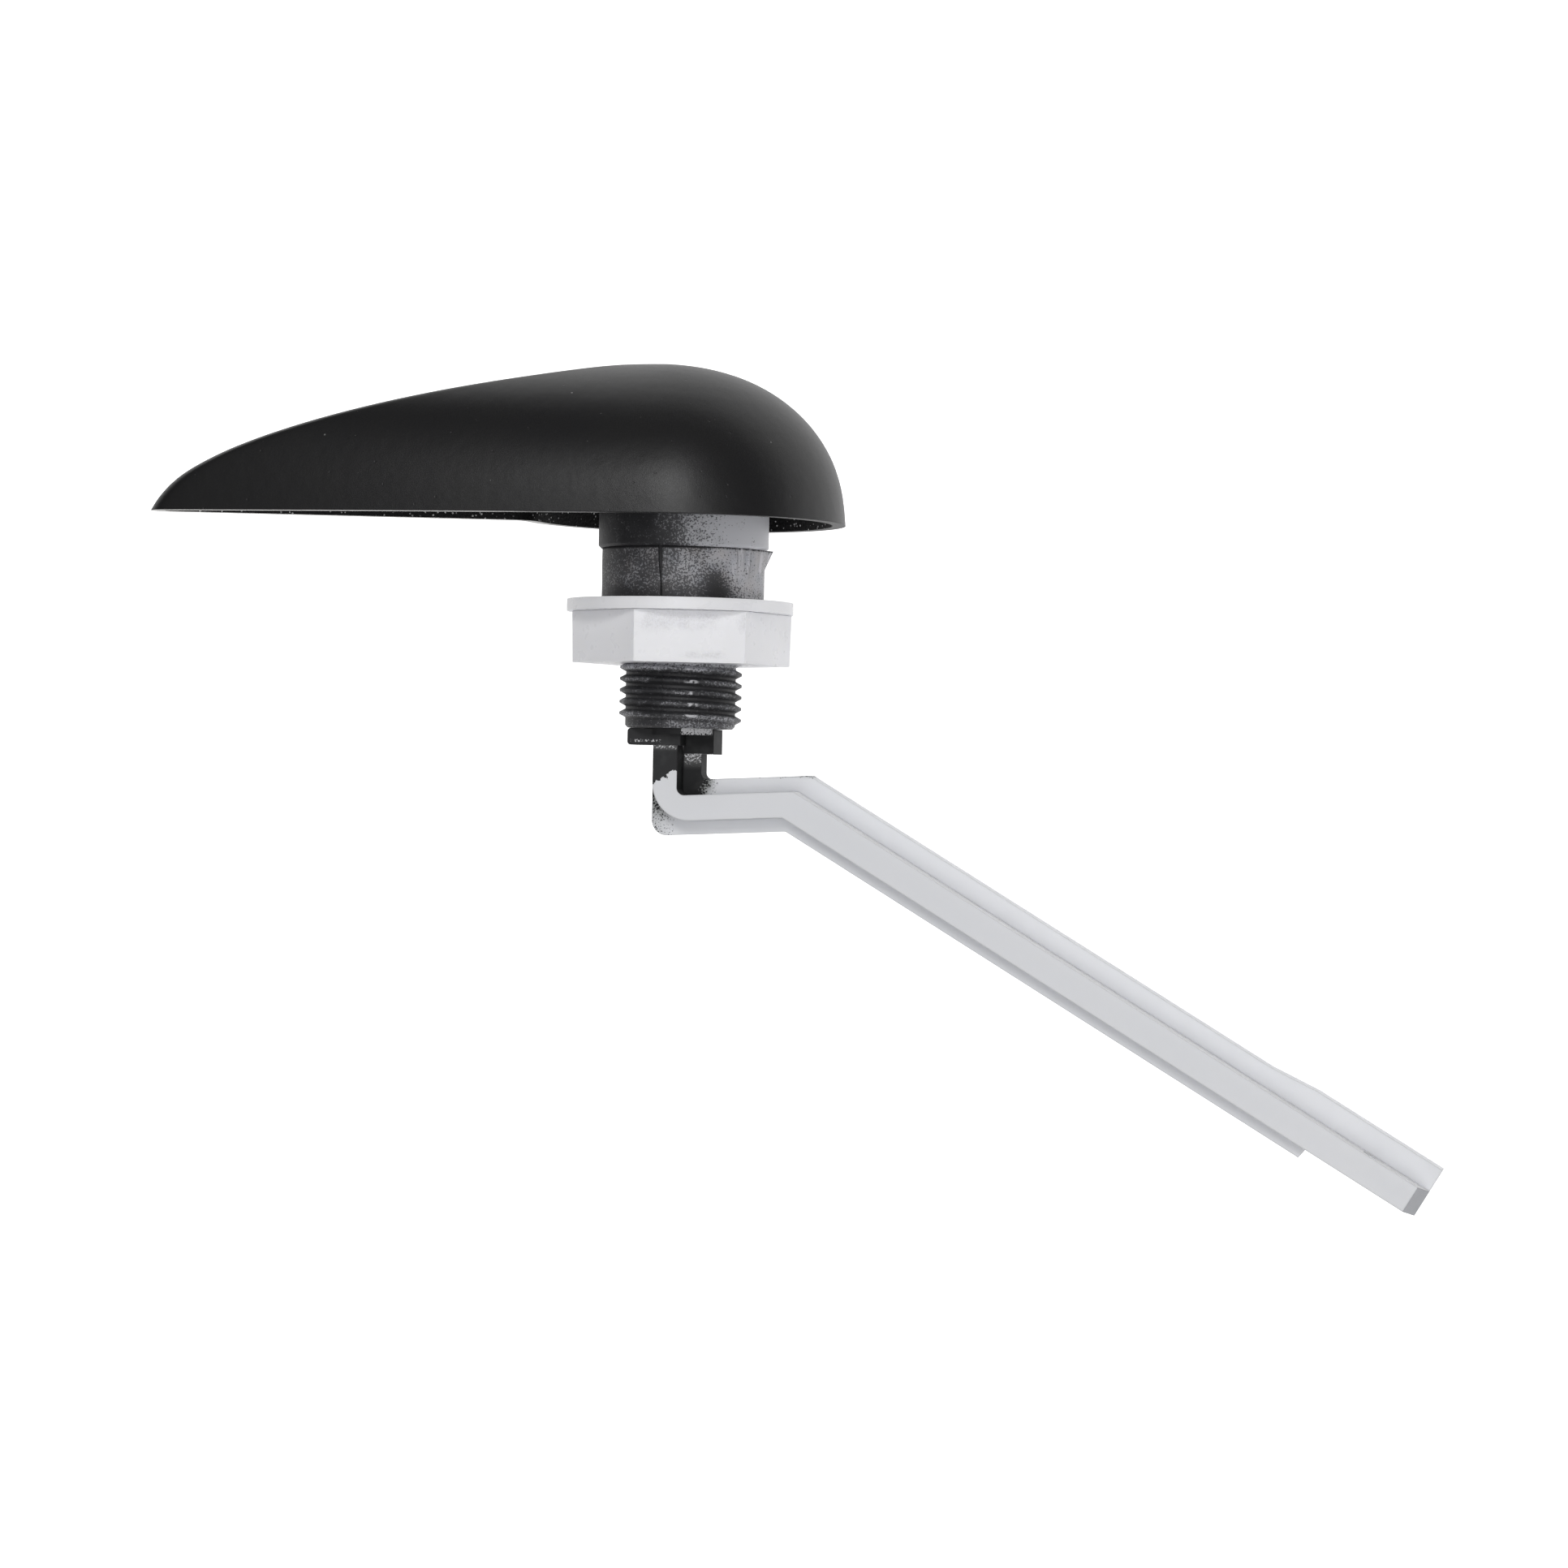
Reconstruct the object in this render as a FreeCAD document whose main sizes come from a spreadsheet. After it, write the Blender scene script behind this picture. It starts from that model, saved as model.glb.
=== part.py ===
"""Toilet tank trip lever: paddle handle, mounting bushing, washer, nut and lever arm.

Millimetres. The origin is on the spindle's axis, on the shoulder that seats against the tank wall.
-Y points out of the tank to the handle, +Y into the tank, +Z up, and +X towards the paddle's tip.
"""

import FreeCAD, Part

import math
import os

import Sketcher

DIMENSIONS = {
    # Thread of the shank, left-hand
    "thread_major_radius": 8.0,
    "thread_root_radius": 7.2,
    "thread_pitch": 1.5,
    "thread_crest_width": 0.3,
    "thread_base_width": 1.26,
    "thread_root_bite": 0.1,
    "thread_start": -0.28,
    "thread_height": 15.9,
    "thread_gap": 0.16,
    # Mounting bushing, lengths along the axis measured from its front face
    "hub_front": 16.2,
    "hub_radius": 11.15,
    "hub_back": 9.5,
    "spigot_radius": 10.15,
    "shank_length": 16.7,
    "pocket_radius": 8.3,
    "pocket_depth": 8.2,
    "bore_radius": 4.56,
    "edge_break": 0.35,
    "stop_ring_radius": 7.3,
    "stop_ring_depth": 2.0,
    "stop_window": 57.0,
    "stop_window_start": 62.0,
    "stop_ring_bite": 0.1,
    "leg_hole_depth": 1.3,
    # Sleeve wrapped round the spigot
    "wrap_inner_radius": 10.2,
    "wrap_thickness": 0.45,
    "wrap_gap": 3.2,
    "wrap_seam_azimuth": 2.5,
    "wrap_end_gap": 0.02,
    # Washer and nut
    "washer_front": 0.03,
    "washer_thickness": 1.55,
    "washer_radius": 14.85,
    "washer_bore_radius": 8.4,
    "washer_offset": 0.3,
    "nut_front": 1.62,
    "nut_thickness": 6.7,
    "nut_across_flats": 25.0,
    "nut_turn": 18.0,
    "nut_draft": 1.2,
    "nut_root_gap": 0.18,
    "nut_crest_gap": 0.2,
    # Spindle and stop lugs of the lever arm
    "spindle_radius": 4.5,
    "spindle_front": -16.95,
    "square_side": 6.2,
    "square_length": 8.9,
    "arm_front": 16.75,
    "spindle_overlap": 0.8,
    "near_lug_left": 6.2,
    "near_lug_right": -0.9,
    "near_lug_back": 18.95,
    "near_lug_top": 3.45,
    "lug_corner_round": 0.45,
    "far_lug_left": -0.5,
    "far_lug_right": -4.6,
    "far_lug_back": 20.0,
    "far_lug_top": 0.1,
    "far_lug_bottom": -5.0,
    # Lever arm: a flat plate with a rib on top of it
    "plate_bottom": -3.6,
    "plate_top": -0.3,
    "rib_top": 3.3,
    "plate_left": 3.6,
    "plate_right": -2.9,
    "rib_left": 2.75,
    "rib_right": -0.5,
    "bend_left": -14.37,
    "bend_back": 29.9,
    "arm_angle": 30.6,
    "arm_rise": 3.0,
    "plate_width": 7.2,
    "plate_wide": 7.9,
    "plate_tip_width": 8.5,
    "widen_start": 69.5,
    "widen_end": 76.1,
    "flange_end": 78.4,
    "tip_reach": 94.6,
    "rib_lower": 1.83,
    "rib_upper": 5.15,
    "rib_lower_wide": 1.72,
    "rib_upper_wide": 5.35,
    "rib_step_slope": 0.3,
    "rib_end_run": 1.5,
    "rib_end_drop": 3.4,
    "plate_corner_round": 2.0,
    "plate_inner_round": 0.85,
    "rib_corner_round": 4.8,
    "rib_inner_round": 1.0,
    "chain_hole_radius": 1.0,
    "chain_hole_reach": 86.0,
    "chain_hole_rise": 1.5,
    "chain_hole_overrun": 1.0,
    # Handle shell
    "rim_y": -10.25,
    "dome_height": 20.7,
    "head_radius": 21.25,
    "dome_centre": 2.6,
    "crest_flat": 7.0,
    "crest_blunt": 10.3,
    "tip_x": 67.3,
    "tip_z": 17.2,
    "tip_radius": 2.5,
    "crotch_radius": 2.2,
    "crotch_angle": 6.0,
    "crotch_growth": 4.0,
    "edge_radius": 500.0,
    "apex_z": 1.5,
    "shell_wall": 1.7,
    "boss_radius": 7.5,
    "boss_front": -17.0,
    "boss_flange_radius": 11.0,
    "boss_flange_thickness": 2.0,
    "socket_gap": 0.04,
    "socket_end_gap": 0.1,
    "key_width": 20.0,
    "key_length": 2.6,
    "key_root": 0.5,
    "key_margin": 1.0,
    "key_inner_gap": 0.05,
    "key_outer_gap": 0.1,
    # Set screw
    "screw_radius": 2.0,
    "screw_length": 4.0,
    "screw_y": -22.0,
    "screw_key": 2.0,
    "screw_edge_break": 0.3,
    "screw_point": 0.7,
    "screw_tip_gap": 0.02,
    "screw_hole_gap": 0.03,
    "screw_access_radius": 2.4,
    # Thrust washer and return spring
    "thrust_inner_radius": 8.5,
    "thrust_thickness": 0.7,
    "thrust_gap": 0.05,
    "spring_radius": 5.9,
    "spring_wire_radius": 0.6,
    "spring_pitch": 1.5,
    "spring_turns": 3.5,
    "spring_back": -9.0,
    "spring_front_azimuth": 180.0,
    "spring_leg": 2.0,
    "spring_leg_bite": 1.0,
    "leg_hole_radius": 0.75,
    "leg_hole_end_gap": 0.5,
}

document = FreeCAD.newDocument("trip_lever")


def make_sheet():
    """The driving dimensions, one aliased cell each."""
    made = document.addObject("Spreadsheet::Sheet", "dims")
    for row, (alias, value) in enumerate(DIMENSIONS.items(), start=1):
        made.set(f"A{row}", alias.replace("_", " "))
        made.set(f"B{row}", str(value))
        made.setAlias(f"B{row}", alias)
    document.recompute()
    return made


sheet = make_sheet()


def size(alias):
    """A dimension's value, read from the sheet."""
    return float(getattr(sheet, alias))


# ---------------------------------------------------------------- helpers

# The whole turn of a revolved feature, and how near two points are the same point.
WHOLE_TURN = "360"
SAME_POINT = 1e-4


def new_body(name):
    body = document.addObject("PartDesign::Body", name)
    body.Label = name
    return body


def origin_plane(body, role):
    return next(f for f in body.Origin.OriginFeatures if f.Role == role)


def new_sketch(body, name, role="XY_Plane", lift=None):
    """A sketch on one of the body's origin planes, lifted along the plane's normal by an expression."""
    sketch = body.newObject("Sketcher::SketchObject", name)
    sketch.AttachmentSupport = [(origin_plane(body, role), "")]
    sketch.MapMode = "FlatFace"
    if lift:
        sketch.setExpression("AttachmentOffset.Base.z", lift)
    return sketch


def polygon(sketch, corners):
    """A closed outline whose corners are pairs of expressions."""
    values = [[evaluate(c) for c in corner] for corner in corners]
    points = [FreeCAD.Vector(x, y, 0) for x, y in values]
    count = len(points)
    for i in range(count):
        sketch.addGeometry(Part.LineSegment(points[i], points[(i + 1) % count]), False)
    for i in range(count):
        sketch.addConstraint(Sketcher.Constraint("Coincident", i, 2, (i + 1) % count, 1))
    for i, (across, along) in enumerate(corners):
        add_point_constraints(sketch, i, values[i], (across, along))


def add_point_constraints(sketch, line, value, expressions):
    for kind, number, expression in zip(("DistanceX", "DistanceY"), value, expressions, strict=True):
        index = sketch.addConstraint(Sketcher.Constraint(kind, -1, 1, line, 1, number))
        sketch.setExpression(f"Constraints[{index}]", expression)


def evaluate(expression):
    return float(sheet.evalExpression(expression.replace("dims.", "")))


def circle(sketch, radius, across="0", along="0"):
    centre = FreeCAD.Vector(evaluate(across), evaluate(along), 0)
    edge = Part.Circle(centre, FreeCAD.Vector(0, 0, 1), evaluate(radius))
    index = sketch.addGeometry(edge, False)
    ring = sketch.addConstraint(Sketcher.Constraint("Radius", index, evaluate(radius)))
    sketch.setExpression(f"Constraints[{ring}]", radius)
    for kind, number, expression in (("DistanceX", centre.x, across), ("DistanceY", centre.y, along)):
        place = sketch.addConstraint(Sketcher.Constraint(kind, -1, 1, index, 3, number))
        sketch.setExpression(f"Constraints[{place}]", expression)


def feature(body, kind, name, sketch, **expressions):
    """A sketch-based PartDesign feature with its lengths and angles bound to expressions."""
    made = body.newObject(f"PartDesign::{kind}", name)
    made.Profile = sketch
    sketch.Visibility = False
    for prop, expression in expressions.items():
        made.setExpression(prop, expression)
    return made


def revolve(body, name, sketch, angle=WHOLE_TURN):
    """The profile turned about the body's Y axis, which is the sketch's vertical axis."""
    made = feature(body, "Revolution", name, sketch, Angle=angle)
    made.ReferenceAxis = (sketch, ["V_Axis"])
    document.recompute()
    return made


def rectangle(x_low, y_low, x_high, y_high):
    return [(x_low, y_low), (x_high, y_low), (x_high, y_high), (x_low, y_high)]


def pad_along_y(body, name, sketch, start, length):
    """A pad on the XZ plane that runs from start towards +Y."""
    sketch.setExpression("AttachmentOffset.Base.z", f"-({start})")
    made = feature(body, "Pad", name, sketch, Length=length)
    made.Reversed = True
    document.recompute()
    return made


# ---------------------------------------------------------------- mounting bushing


def thread_section(inner, outer, foot, crest):
    """A thread's trapezium in the XY plane: two radii and two half widths."""
    centre = "dims.thread_start"
    return [
        (inner, f"{centre} - ({foot})"),
        (outer, f"{centre} - ({crest})"),
        (outer, f"{centre} + ({crest})"),
        (inner, f"{centre} + ({foot})"),
    ]


def helix(body, kind, name, sketch, height):
    """A left-hand thread along the body's Y axis."""
    made = body.newObject(f"PartDesign::{kind}", name)
    made.Profile = sketch
    made.ReferenceAxis = (sketch, ["V_Axis"])
    made.Mode = "pitch-height-angle"
    made.setExpression("Pitch", "dims.thread_pitch")
    made.setExpression("Height", height)
    made.LeftHanded = True
    document.recompute()
    return made


def drill_leg_hole(body):
    """A blind hole in the pocket's wall for the spring's back leg, which points along +X."""
    overrun = "(dims.pocket_radius - dims.stop_ring_radius) / 2"
    sketch = new_sketch(body, "leg_hole_circle", "YZ_Plane", f"dims.pocket_radius - {overrun}")
    circle(sketch, "dims.leg_hole_radius", "dims.spring_back", "0")
    made = feature(body, "Pocket", "spring_leg_hole", sketch, Length=f"dims.leg_hole_depth + {overrun}")
    made.Reversed = True
    document.recompute()


def make_bushing():
    body = new_body("mounting_bushing")
    front = "-dims.hub_front"
    floor = "dims.pocket_depth - dims.hub_front"
    step = "dims.hub_back - dims.hub_front"
    profile = new_sketch(body, "bushing_profile")
    polygon(profile, [
        ("dims.bore_radius", floor),
        ("dims.pocket_radius", floor),
        ("dims.pocket_radius", front),
        ("dims.hub_radius", front),
        ("dims.hub_radius", f"{step} - dims.edge_break"),
        ("dims.hub_radius - dims.edge_break", step),
        ("dims.spigot_radius", step),
        ("dims.spigot_radius", "0"),
        ("dims.thread_root_radius", "0"),
        ("dims.thread_root_radius", "dims.shank_length - dims.edge_break"),
        ("dims.thread_root_radius - dims.edge_break", "dims.shank_length"),
        ("dims.bore_radius", "dims.shank_length"),
    ])
    revolve(body, "bushing_turning", profile)
    add_stop_ring(body)
    drill_leg_hole(body)
    thread = new_sketch(body, "thread_section")
    polygon(thread, thread_section(
        "dims.thread_root_radius - dims.thread_root_bite",
        "dims.thread_major_radius",
        "dims.thread_base_width / 2",
        "dims.thread_crest_width / 2",
    ))
    helix(body, "AdditiveHelix", "shank_thread", thread, "dims.thread_height")


def add_stop_ring(body):
    """A ledge round the pocket's mouth, open over the arc that the handle's stop key sweeps."""
    section = new_sketch(body, "stop_ring_section")
    turn = FreeCAD.Rotation(FreeCAD.Vector(0, 1, 0), size("stop_window_start") + size("stop_window"))
    section.AttachmentOffset = FreeCAD.Placement(FreeCAD.Vector(), turn)
    polygon(section, rectangle(
        "dims.stop_ring_radius",
        "-dims.hub_front",
        "dims.pocket_radius + dims.stop_ring_bite",
        "dims.stop_ring_depth - dims.hub_front",
    ))
    revolve(body, "stop_ring", section, angle="360 - dims.stop_window")


# ---------------------------------------------------------------- wrap, washer and nut


def make_wrap():
    """An open sleeve round the spigot; its seam faces up."""
    body = new_body("spigot_wrap")
    section = new_sketch(body, "wrap_section")
    seam = -90 + size("wrap_seam_azimuth") + size("wrap_gap") / 2
    turn = FreeCAD.Rotation(FreeCAD.Vector(0, 1, 0), seam)
    section.AttachmentOffset = FreeCAD.Placement(FreeCAD.Vector(), turn)
    polygon(section, rectangle(
        "dims.wrap_inner_radius",
        "dims.hub_back - dims.hub_front + dims.wrap_end_gap",
        "dims.wrap_inner_radius + dims.wrap_thickness",
        "-dims.wrap_end_gap",
    ))
    revolve(body, "wrap_turning", section, angle="360 - dims.wrap_gap")


def make_washer():
    """A loose disc that hangs a little off the shank's centre."""
    body = new_body("nut_washer")
    section = new_sketch(body, "washer_section")
    polygon(section, rectangle(
        "dims.washer_bore_radius",
        "dims.washer_front",
        "dims.washer_radius",
        "dims.washer_front + dims.washer_thickness",
    ))
    revolve(body, "washer_turning", section)
    body.setExpression("Placement.Base.x", "dims.washer_offset")


def hexagon():
    """Corners of the nut in the XZ plane, turned so that one flat faces up and a little to -X."""
    corner = "dims.nut_across_flats / 2 / cos(30)"
    corners = []
    for angle_from_flat in range(30, 390, 60):
        angle = f"(dims.nut_turn + {angle_from_flat})"
        corners.append((f"-{corner} * sin{angle}", f"{corner} * cos{angle}"))
    return corners


def make_nut():
    body = new_body("lock_nut")
    outline = new_sketch(body, "nut_outline", "XZ_Plane")
    polygon(outline, hexagon())
    block = pad_along_y(body, "nut_block", outline, "dims.nut_front", "dims.nut_thickness")
    block.setExpression("TaperAngle", "-dims.nut_draft")
    document.recompute()
    hole = new_sketch(body, "nut_hole", "XZ_Plane")
    circle(hole, "dims.thread_root_radius + dims.nut_root_gap")
    bore = feature(body, "Pocket", "nut_bore", hole)
    bore.Type = "ThroughAll"
    bore.Midplane = True
    document.recompute()
    cut_nut_thread(body)


def cut_nut_thread(body):
    """The shank's thread form, grown by the running gap all round."""
    groove = new_sketch(body, "nut_groove_section")
    flank = "(dims.thread_base_width - dims.thread_crest_width) / 2"
    depth = "(dims.thread_major_radius - dims.thread_root_radius + dims.thread_root_bite)"
    slope = f"{flank} / {depth}"
    foot = f"dims.thread_base_width / 2 + dims.thread_gap - dims.thread_root_bite * {slope}"
    crest = f"dims.thread_crest_width / 2 + dims.thread_gap - dims.nut_crest_gap * {slope}"
    outer = "dims.thread_major_radius + dims.nut_crest_gap"
    polygon(groove, thread_section("dims.thread_root_radius", outer, foot, crest))
    helix(body, "SubtractiveHelix", "nut_thread", groove, "dims.thread_height")


# ---------------------------------------------------------------- lever arm


def arm_bend(level_near, level_far):
    """Where two lines of the arm meet, one on each limb, given by their heights above its lower edge."""
    bend = "(dims.arm_angle + dims.arm_rise)"
    run = f"((({level_far}) * cos{bend} - ({level_near})) / sin{bend})"
    return long_limb(run, level_far)


def long_limb(run, level):
    """A point of the long limb: run along it from the bend, and height above its lower edge."""
    across = f"dims.bend_left - ({run}) * cos(dims.arm_angle) - ({level}) * sin(dims.arm_angle)"
    along = f"dims.bend_back + ({run}) * sin(dims.arm_angle) - ({level}) * cos(dims.arm_angle)"
    return across, along


def elbow(side, level):
    """Where an upright edge of the arm meets a line of the short limb."""
    rise = "dims.arm_rise"
    along = f"dims.bend_back + ({side} - dims.bend_left) * tan({rise}) - ({level}) / cos({rise})"
    return side, along


def plate_outline():
    return [
        ("dims.plate_left", "dims.arm_front"),
        elbow("dims.plate_left", "0"),
        arm_bend("0", "0"),
        long_limb("dims.flange_end", "0"),
        long_limb("dims.flange_end + dims.rib_step_slope", "dims.rib_lower_wide"),
        long_limb("dims.tip_reach", "dims.rib_lower_wide"),
        long_limb("dims.tip_reach", "dims.plate_tip_width"),
        long_limb("dims.widen_end", "dims.plate_tip_width"),
        long_limb("dims.widen_start", "dims.plate_wide"),
        arm_bend("dims.plate_width", "dims.plate_wide"),
        elbow("dims.plate_right", "dims.plate_width"),
        ("dims.plate_right", "dims.arm_front"),
    ]


def rib_outline():
    return [
        ("dims.rib_left", "dims.arm_front"),
        elbow("dims.rib_left", "dims.rib_lower"),
        arm_bend("dims.rib_lower", "dims.rib_lower_wide"),
        long_limb("dims.tip_reach", "dims.rib_lower_wide"),
        long_limb("dims.tip_reach", "dims.rib_upper_wide"),
        arm_bend("dims.rib_upper", "dims.rib_upper_wide"),
        elbow("dims.rib_right", "dims.rib_upper"),
        ("dims.rib_right", "dims.arm_front"),
    ]


def slab(body, name, corners, bottom, top):
    """An outline in the XY plane, thickened from one height to another."""
    sketch = new_sketch(body, f"{name}_outline", lift=bottom)
    polygon(sketch, corners)
    made = feature(body, "Pad", name, sketch, Length=f"({top}) - ({bottom})")
    document.recompute()
    return made


def upright_edge(shape, corner):
    """The name of the edge that runs along Z through a corner given as two expressions."""
    x, y = (evaluate(c) for c in corner)
    for index, edge in enumerate(shape.Edges, start=1):
        ends = [v.Point for v in edge.Vertexes]
        if len(ends) == 2 and all(math.hypot(p.x - x, p.y - y) < SAME_POINT for p in ends):
            return f"Edge{index}"
    raise ValueError(f"no upright edge at {x}, {y}")


def round_corner(body, name, base, corner, radius):
    made = body.newObject("PartDesign::Fillet", name)
    made.Base = (base, [upright_edge(base.Shape, corner)])
    made.setExpression("Radius", radius)
    document.recompute()
    return made


def slope_rib_end(body, base):
    """Bevels the rib's upper end so that it runs down to the plate."""
    top = size("rib_top")
    ends = [long_limb("dims.tip_reach", level) for level in ("dims.rib_lower_wide", "dims.rib_upper_wide")]
    corners = [FreeCAD.Vector(evaluate(x), evaluate(y), top) for x, y in ends]
    made = body.newObject("PartDesign::Chamfer", "rib_end_slope")
    made.Base = (base, [edge_between(base.Shape, *corners)])
    made.ChamferType = "Two distances"
    made.setExpression("Size", "dims.rib_end_run")
    made.setExpression("Size2", "dims.rib_end_drop")
    document.recompute()
    return made


def edge_between(shape, start, end):
    """The name of the straight edge that joins two points."""
    for index, edge in enumerate(shape.Edges, start=1):
        ends = [v.Point for v in edge.Vertexes]
        if len(ends) == 2 and min_gap(ends, start) < SAME_POINT and min_gap(ends, end) < SAME_POINT:
            return f"Edge{index}"
    raise ValueError("no such edge")


def min_gap(points, target):
    return min(p.distanceToPoint(target) for p in points)


def drill_chain_hole(body):
    """A small hole through the rib near its end, square to the long limb and in the plate's plane."""
    sketch = new_sketch(body, "chain_hole_section", lift="dims.chain_hole_rise")
    run = "dims.chain_hole_reach"
    wall = f"{run} + dims.chain_hole_radius"
    low = "dims.rib_lower_wide - dims.chain_hole_overrun"
    high = "dims.rib_upper_wide + dims.chain_hole_overrun"
    corners = [long_limb(run, low), long_limb(wall, low), long_limb(wall, high), long_limb(run, high)]
    polygon(sketch, corners)
    ends = [FreeCAD.Vector(evaluate(x), evaluate(y), 0) for x, y in (corners[0], corners[3])]
    line = sketch.addGeometry(Part.LineSegment(*ends), True)
    sketch.addConstraint(Sketcher.Constraint("Coincident", line, 1, 0, 1))
    sketch.addConstraint(Sketcher.Constraint("Coincident", line, 2, 3, 1))
    made = feature(body, "Groove", "chain_hole", sketch, Angle=WHOLE_TURN)
    made.ReferenceAxis = (sketch, ["Axis0"])
    document.recompute()


def make_arm():
    body = new_body("lever_arm")
    plate = slab(body, "arm_plate", plate_outline(), "dims.plate_bottom", "dims.plate_top")
    heel = elbow("dims.plate_left", "0")
    plate = round_corner(body, "plate_heel", plate, heel, "dims.plate_corner_round")
    inner = elbow("dims.plate_right", "dims.plate_width")
    round_corner(body, "plate_crook", plate, inner, "dims.plate_inner_round")
    rib = slab(body, "arm_rib", rib_outline(), "dims.plate_top", "dims.rib_top")
    heel = elbow("dims.rib_left", "dims.rib_lower")
    rib = round_corner(body, "rib_heel", rib, heel, "dims.rib_corner_round")
    crook = elbow("dims.rib_right", "dims.rib_upper")
    rib = round_corner(body, "rib_crook", rib, crook, "dims.rib_inner_round")
    slope_rib_end(body, rib)
    drill_chain_hole(body)
    add_lugs(body)
    add_spindle(body)


def add_lugs(body):
    near = rectangle("dims.near_lug_right", "dims.arm_front", "dims.near_lug_left", "dims.near_lug_back")
    lug = slab(body, "near_lug", near, "0", "dims.near_lug_top")
    for index, y in enumerate(("dims.near_lug_back", "dims.arm_front")):
        corner = ("dims.near_lug_left", y)
        lug = round_corner(body, f"near_lug_corner_{index}", lug, corner, "dims.lug_corner_round")
    far = rectangle("dims.far_lug_right", "dims.arm_front", "dims.far_lug_left", "dims.far_lug_back")
    slab(body, "far_lug", far, "dims.far_lug_bottom", "dims.far_lug_top")


def add_spindle(body):
    """The round journal in the bushing and the square drive that takes the handle."""
    journal = new_sketch(body, "journal_circle", "XZ_Plane")
    circle(journal, "dims.spindle_radius")
    length = "dims.arm_front + dims.spindle_overlap - dims.spindle_front"
    pad_along_y(body, "journal", journal, "dims.spindle_front", length)
    square = new_sketch(body, "drive_square", "XZ_Plane")
    half = "dims.square_side / 2"
    polygon(square, rectangle(f"-{half}", f"-{half}", half, half))
    start = "dims.spindle_front - dims.square_length"
    pad_along_y(body, "drive", square, start, "dims.square_length + dims.spindle_overlap")


# ---------------------------------------------------------------- handle shell

# Roundness of the head's profile: 2 is an ellipse.
HEAD_POWER = 2.1
# How soon the crest's Z settles on its way to the tip.
CREST_SETTLING = 2.8
# Share of the height up to which the level outlines are true commas.
LAST_OUTLINE = 0.93
MIN_TIP_RADIUS = 0.35
BISECTIONS = 40
# Poles along each stretch of an outline, and the step between levels in degrees.
HEAD_POINTS = 30
EDGE_POINTS = 16
TIP_POINTS = 9
LINE_POINTS = 12
CROTCH_POINTS = 4
LEVEL_STEP = 9
DEGREE = 3
# How far the hollow's tool reaches past the rim, so that the cut is clean.
SKIRT = 1.0


def fullness(level, power):
    """How wide a rounded profile still is at a share of its height: 1 at the foot and 0 at the top."""
    return (1 - level**power) ** (1 / power)


def unit(angle):
    return FreeCAD.Vector(math.cos(angle), math.sin(angle), 0)


def arc_points(centre, radius, start, end, count):
    """Points on an arc, from start up to but not including end."""
    return [centre + unit(start + (end - start) * i / count) * radius for i in range(count)]


def angle_of(vector):
    return math.atan2(vector.y, vector.x)


def ridge_height_z(reach):
    """The Z of the handle's crest above a point of the X axis."""
    share = (reach - size("dome_centre")) / (size("tip_x") - size("dome_centre"))
    return size("tip_z") * (1 - (1 - share) ** CREST_SETTLING)


def crest_reach(level):
    """How far the crest reaches along X at a share of its height."""
    start, end = size("dome_centre"), size("tip_x")
    low, high = 0.0, 1.0
    for _ in range(BISECTIONS):
        middle = (low + high) / 2
        drop = bezier(middle, 1, 1, size("crest_blunt") / size("dome_height"), 0)
        low, high = (middle, high) if drop > level else (low, middle)
    return bezier(low, start, start + size("crest_flat"), end, end)


def bezier(share, *poles):
    rest = 1 - share
    weights = (rest**3, 3 * rest**2 * share, 3 * rest * share**2, share**3)
    return sum(w * p for w, p in zip(weights, poles, strict=True))


def comma(level, inset):
    """Two circles that carry a level outline of the handle: the head's and the tip's."""
    full = fullness(level, HEAD_POWER)
    head = FreeCAD.Vector(size("dome_centre") * (1 - full), 0, 0)
    reach = crest_reach(level)
    tip_radius = size("tip_radius") * math.sqrt(full)
    tip = FreeCAD.Vector(reach - tip_radius, ridge_height_z(reach), 0)
    return head, size("head_radius") * full - inset, tip, max(tip_radius - inset, MIN_TIP_RADIUS)


def upper_arc(head, head_radius, tip, tip_radius, inset):
    """Centre and radius of the wide arc that touches both circles from outside, above them."""
    radius = size("edge_radius") - inset
    span = tip - head
    to_head = radius - head_radius
    to_tip = radius - tip_radius
    along = (to_head**2 - to_tip**2 + span.Length**2) / (2 * span.Length)
    below = math.sqrt(to_head**2 - along**2)
    ahead = span.normalize()
    side = FreeCAD.Vector(ahead.y, -ahead.x, 0)
    return head + ahead * along + side * below, radius


def lower_line(head, head_radius, tip, tip_radius, inset):
    """The straight edge under the paddle, as a point, a direction and its outward normal."""
    foot = head + unit(math.radians(size("crotch_angle"))) * (head_radius + inset)
    to_tip = tip - foot
    lean = angle_of(to_tip) - math.asin((tip_radius + inset) / to_tip.Length)
    ahead = unit(lean)
    outward = FreeCAD.Vector(ahead.y, -ahead.x, 0)
    return foot - outward * inset, ahead, outward


def crotch_centre(head, head_radius, line, radius):
    """Centre of the hollow fillet between the head's circle and the lower edge."""
    foot, ahead, outward = line
    offset = foot - head + outward * radius
    half = offset.dot(ahead)
    rest = offset.dot(offset) - (head_radius + radius) ** 2
    return head + offset + ahead * (-half + math.sqrt(half**2 - rest))


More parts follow.
